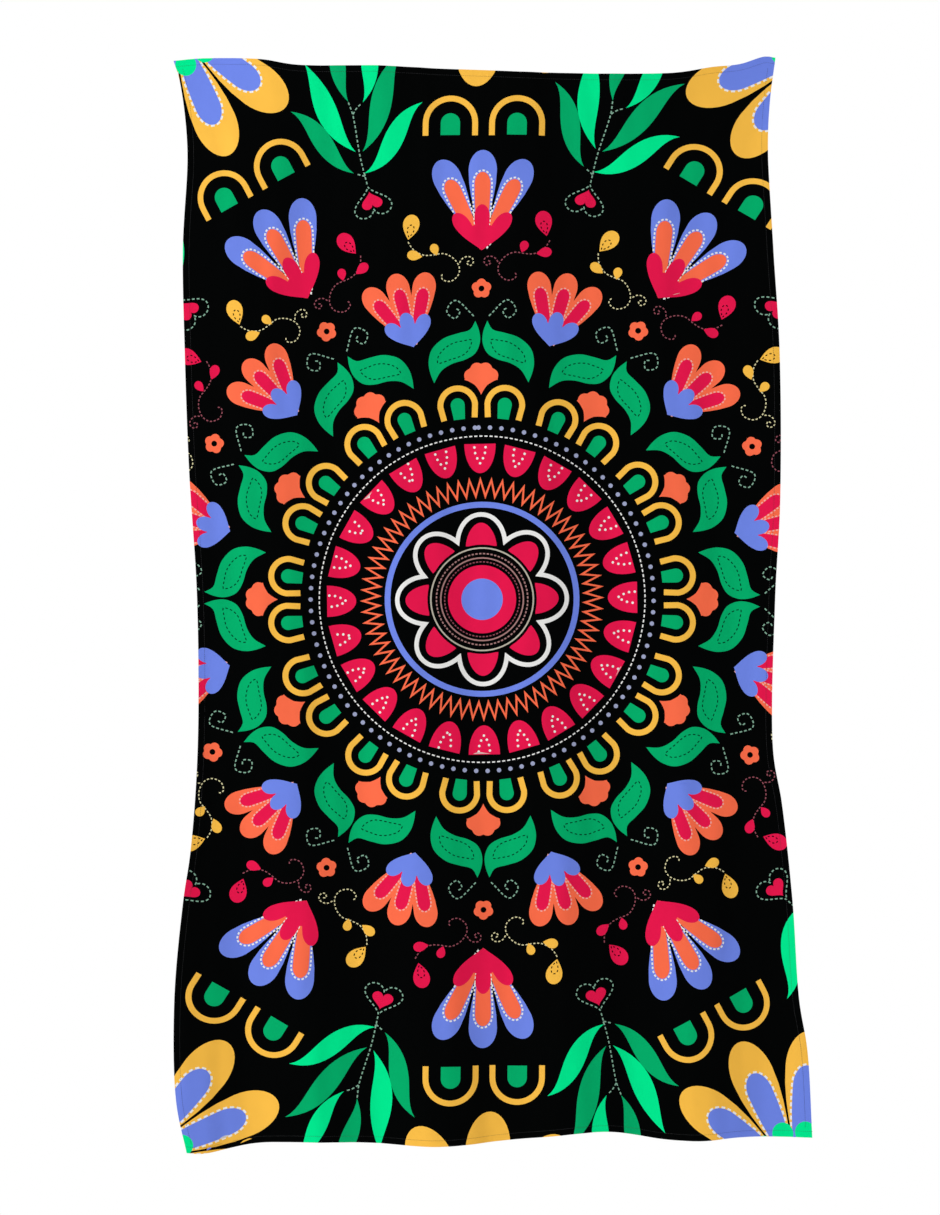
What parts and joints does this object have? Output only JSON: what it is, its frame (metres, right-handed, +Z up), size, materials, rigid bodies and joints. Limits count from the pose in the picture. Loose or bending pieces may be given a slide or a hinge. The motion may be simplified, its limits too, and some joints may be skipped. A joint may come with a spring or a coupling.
{
  "type": "tapestry wall hanging",
  "caption": "Tall printed cloth wall hanging with stitched hems, hung by cord loops behind its top corners; it swings out from the wall on them.",
  "frame": {"origin": "midway between the two wall nails, at the height of their centres, on the wall's face", "axes": "+Z up the height of the cloth, +X to the right seen from the front, +Y into the wall, so the printed face looks along -Y"},
  "size_m": [1.032, 0.0322, 1.7725],
  "materials": {
    "printed_cloth": "matt plain-weave polyester, multicolour print on a black ground, pale unprinted back",
    "sewing_thread": "black spun polyester thread, slight sheen",
    "loop_cord": "black braided round cord"
  },
  "bodies": {
    "loops": {"hanging_loop_left": "loop_cord", "hanging_loop_right": "loop_cord", "loop_tack_left": "sewing_thread", "loop_tack_right": "sewing_thread"},
    "cloth": {"printed_panel": "printed_cloth", "hem_top": "printed_cloth", "hem_bottom": "printed_cloth", "hem_left": "printed_cloth", "hem_right": "printed_cloth", "seam_top_needle_thread": "sewing_thread", "seam_top_bobbin_thread": "sewing_thread", "seam_bottom_needle_thread": "sewing_thread", "seam_bottom_bobbin_thread": "sewing_thread", "seam_left_needle_thread": "sewing_thread", "seam_left_bobbin_thread": "sewing_thread", "seam_right_needle_thread": "sewing_thread", "seam_right_bobbin_thread": "sewing_thread"}
  },
  "joints": [
    {"name": "cloth_swing", "type": "hinge", "parent": "loops", "child": "cloth", "pos_m": [0, -0.0055, 0.005], "axis": [-1, 0, 0], "range_deg": [0, 35]}
  ]
}
